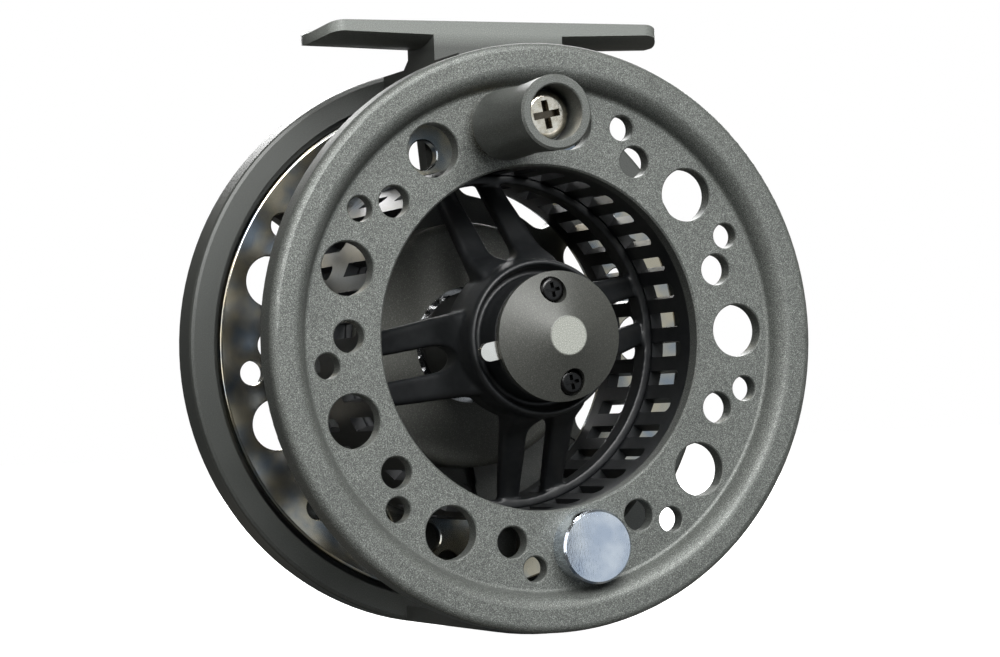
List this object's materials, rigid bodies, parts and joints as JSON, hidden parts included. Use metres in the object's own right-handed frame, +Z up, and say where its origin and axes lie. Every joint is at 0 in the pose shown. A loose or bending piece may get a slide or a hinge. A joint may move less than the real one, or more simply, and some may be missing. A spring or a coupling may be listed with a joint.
{
  "type": "fly reel",
  "caption": "Large-arbor fly reel: half frame with foot, ported spool with palming rim, slotted arbor, crank knob, counterweight, spool latch, click pawl and rear disc-drag knob.",
  "frame": {"origin": "middle of the flat root of the foot's trough, where the foot seats on a rod's reel seat", "axes": "+X along the rod, from the rear foot tip to the front one; +Y along the spin axis from the handle side to the drag knob; +Z up, out of the foot into the rod"},
  "size_m": [0.0968, 0.0791, 0.1021],
  "materials": {
    "spool_paint": "fine-speckled gunmetal grey paint, satin",
    "frame_paint": "dark grey satin paint on a die casting",
    "black_satin": "blue-black satin enamel",
    "black_polish": "polished black anodising",
    "cap_paint": "warm dark grey speckled paint",
    "housing_paint": "warm matte dark grey",
    "drag_knob_paint": "dark grey satin",
    "black_screw": "black oxide",
    "nickel": "nickel plate",
    "chrome_plate": "mirror chrome plate with fine wipe marks",
    "handle_plastic": "dark grey moulded knob, satin",
    "brass": "machined",
    "latch_steel": "polished",
    "steel": "ground steel",
    "spring_steel": "spring temper",
    "nut_brass": "machined",
    "carbon_friction": "woven carbon friction sheet",
    "cover_metal": "machined",
    "seal_rubber": "nitrile"
  },
  "bodies": {
    "frame": {"frame": "frame_paint", "drag_housing": "housing_paint", "housing_screws": "black_screw", "spindle": "steel", "spindle_screws": "steel", "drag_cover": "cover_metal", "sleeve_seal": "seal_rubber", "front_friction_washer": "carbon_friction", "pawl_pin": "steel", "pawl_spring": "spring_steel", "knob_screw": "steel"},
    "spool": {"spool_rim": "spool_paint", "arbor_drum": "black_satin", "rear_flange": "black_polish", "hub_spider": "black_satin", "click_gear": "steel", "roller_clutch": "steel", "front_bearing": "steel", "hub_cap": "cap_paint", "hub_cap_screws": "black_screw", "latch_spring": "spring_steel", "counterweight": "chrome_plate", "counterweight_screw": "steel", "handle_bush": "brass", "handle_screw": "nickel"},
    "handle": {"handle_knob": "handle_plastic"},
    "latch": {"latch_plate": "latch_steel"},
    "drag_rotor": {"drag_rotor": "steel", "rotor_disc": "steel", "rotor_bearing": "steel"},
    "pressure": {"pressure_plate": "steel", "rear_friction_washer": "carbon_friction", "thrust_pins": "steel", "spring_washer": "spring_steel"},
    "drag_nut": {"drag_nut": "nut_brass"},
    "drag_knob": {"drag_knob": "drag_knob_paint", "knob_cap": "drag_knob_paint"},
    "click_pawl": {"click_pawl": "steel"}
  },
  "joints": [
    {"name": "spool_spin", "type": "hinge", "parent": "frame", "child": "spool", "pos_m": [0, -0.00465, -0.05205], "axis": [0, 1, 0], "continuous": true},
    {"name": "handle_spin", "type": "hinge", "parent": "spool", "child": "handle", "pos_m": [-0.00648, -0.02465, -0.01755], "axis": [0, 1, 0], "continuous": true},
    {"name": "latch_press", "type": "slide", "parent": "spool", "child": "latch", "axis": [0.9828, 0, 0.1846], "range_m": [0, 0.0009], "stiffness_N_per_m": 500, "springref_m": -0.0015, "deforming": ["latch_spring"]},
    {"name": "drag_rotor_spin", "type": "hinge", "parent": "frame", "child": "drag_rotor", "pos_m": [0, 0.01535, -0.05205], "axis": [0, 1, 0], "continuous": true},
    {"name": "drag_knob_turn", "type": "hinge", "parent": "frame", "child": "drag_knob", "pos_m": [0, 0.02735, -0.05205], "axis": [0, -1, 0], "range_deg": [0, 300]},
    {"name": "drag_nut_travel", "type": "slide", "parent": "drag_knob", "child": "drag_nut", "axis": [0, -1, 0], "range_m": [0, 0.0007]},
    {"name": "pressure_travel", "type": "slide", "parent": "frame", "child": "pressure", "axis": [0, -1, 0], "range_m": [0, 0.0002], "deforming": ["spring_washer"]},
    {"name": "pawl_rock", "type": "hinge", "parent": "frame", "child": "click_pawl", "pos_m": [-0.00472, 0.01235, -0.06502], "axis": [0, 1, 0], "range_deg": [-12, 12], "stiffness_Nm_per_rad": 0.01, "deforming": ["pawl_spring"]}
  ],
  "couplings": [
    {"joint": "drag_nut_travel", "follows": "drag_knob_turn", "m_per_rad": 0.00012732},
    {"joint": "pressure_travel", "follows": "drag_knob_turn", "m_per_rad": 0.000034377}
  ]
}
